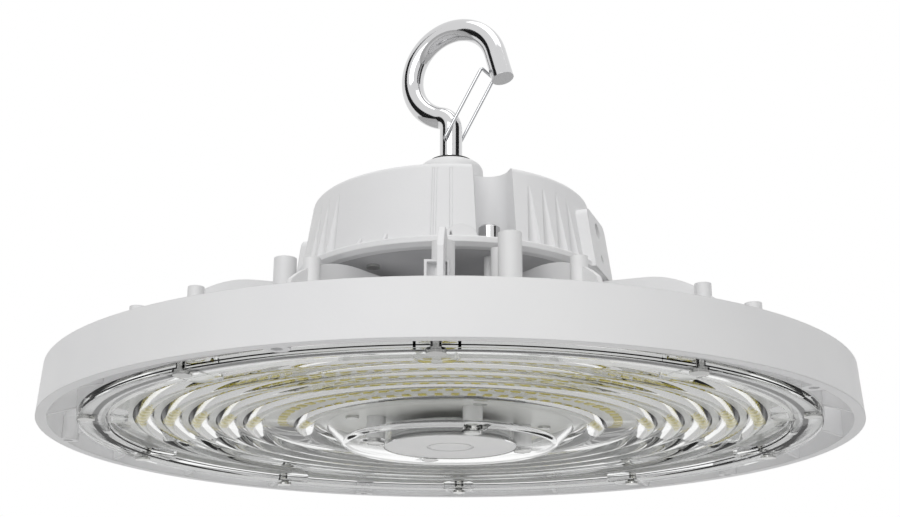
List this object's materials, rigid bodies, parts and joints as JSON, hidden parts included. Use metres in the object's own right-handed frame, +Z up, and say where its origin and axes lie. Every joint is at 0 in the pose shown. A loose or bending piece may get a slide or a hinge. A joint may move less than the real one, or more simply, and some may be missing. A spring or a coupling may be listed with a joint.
{
  "type": "high bay light",
  "caption": "Round LED high bay light: finned white heat sink, clear ridged lens with LED rings, driver drum on top and a hanging hook with a spring wire gate.",
  "frame": {"origin": "middle of the lowest face, the flat of the lens dome, on the light's axis", "axes": "+Z up along the light's axis towards the hook, -Y towards the viewer of the picture, +X to the viewer's right"},
  "size_m": [0.34, 0.34, 0.2011],
  "materials": {
    "white_cast": "cast aluminium under a fine white satin powder coat",
    "grey_plate": "satin grey paint",
    "clear_lens": "clear moulded polycarbonate, glossy",
    "steel_screw": "zinc plated steel, satin",
    "white_plastic": "white moulded plastic, satin",
    "grey_rubber": "grey silicone, matt",
    "black_rubber": "black rubber, matt",
    "white_board": "white solder mask over an aluminium board",
    "led_package": "yellow phosphor in a white package",
    "driver_shell": "dark satin shell, potted",
    "black_nylon": "black moulded nylon, satin",
    "lead_cover": "insulated stranded copper",
    "chrome": "polished plating",
    "spring_steel": "bright drawn wire",
    "zinc_steel": "zinc plated steel"
  },
  "bodies": {
    "light": {"heat_sink": "white_cast", "lens_gasket": "grey_rubber", "lens": "clear_lens", "lens_screws": "steel_screw", "centre_screws": "steel_screw", "board_screws": "steel_screw", "inner_board_screws": "steel_screw", "port_cap": "white_plastic", "port_seal": "grey_rubber", "led_board": "white_board", "led_packages": "led_package", "driver_housing": "white_cast", "housing_base": "grey_plate", "housing_gasket": "grey_rubber", "base_screws": "steel_screw", "post_screws": "steel_screw", "driver": "driver_shell", "driver_screws": "steel_screw", "led_leads": "lead_cover", "vent_plug": "chrome", "vent_seal": "black_rubber", "cable_gland": "black_nylon", "gland_seal": "black_rubber", "hook": "chrome", "hook_washer": "black_rubber", "hook_nut": "zinc_steel", "hook_lock_screw": "zinc_steel"},
    "gate": {"hook_gate": "spring_steel"}
  },
  "joints": [
    {"name": "gate_hinge", "type": "hinge", "parent": "light", "child": "gate", "pos_m": [0, 0, 0.1397], "axis": [-0.4695, -0.8829, 0], "range_deg": [0, 38], "stiffness_Nm_per_rad": 0.02}
  ]
}
